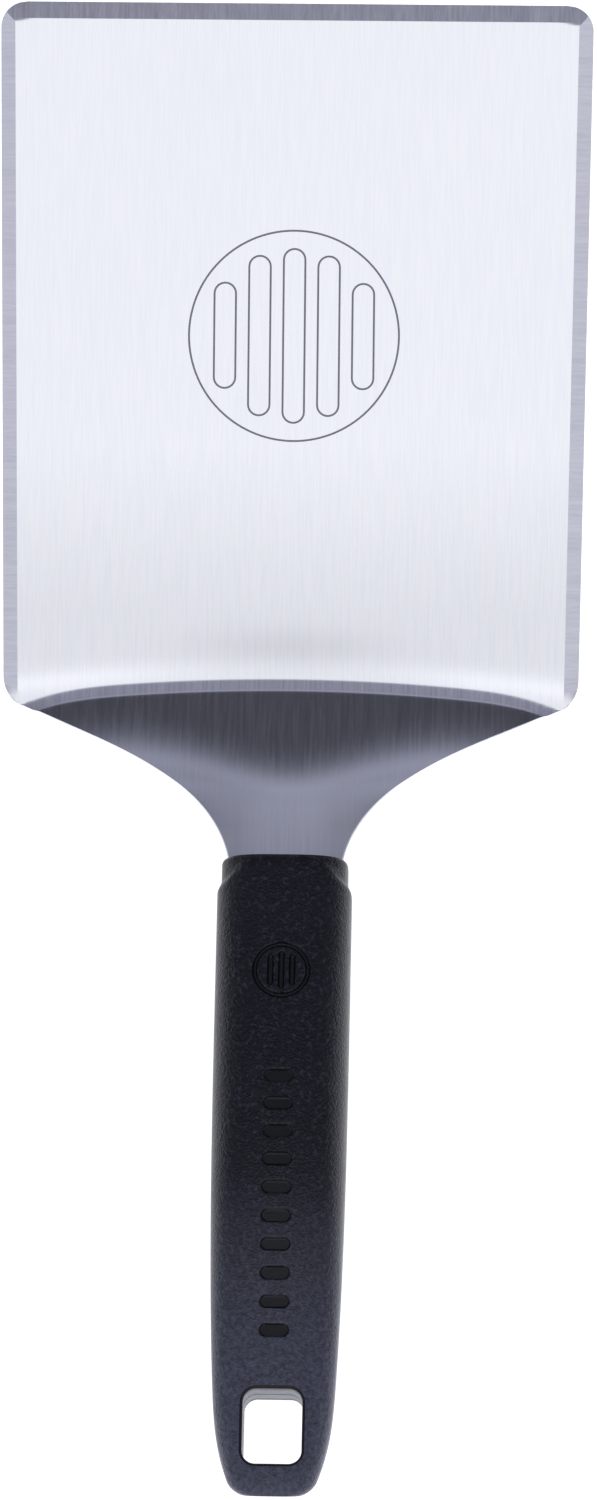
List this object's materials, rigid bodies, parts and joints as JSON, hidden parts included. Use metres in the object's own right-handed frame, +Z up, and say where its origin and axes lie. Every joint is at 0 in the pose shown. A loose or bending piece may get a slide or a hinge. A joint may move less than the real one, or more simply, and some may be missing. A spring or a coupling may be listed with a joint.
{
  "type": "grill spatula",
  "caption": "Wide flat turner for a griddle or grill: a pressed steel blade with bevelled edges, an upswept neck and a soft-touch handle with a hang hole.",
  "frame": {"origin": "bottom centre of the whole tool's box, on the plane that the blade lies on", "axes": "+Y from the handle's end towards the blade's front edge, +X across the blade, +Z up from the blade's underside"},
  "size_m": [0.1268, 0.3128, 0.0694],
  "materials": {
    "steel": "brushed stainless, grain along the blade, ground edge bevels",
    "core": "moulded grey nylon",
    "rivet": "plain",
    "grip": "fine leather-like moulded texture"
  },
  "bodies": {
    "root": {"blade": "steel", "core_upper": "core", "core_lower": "core", "tang_rivets": "rivet", "grip": "grip"}
  },
  "joints": []
}
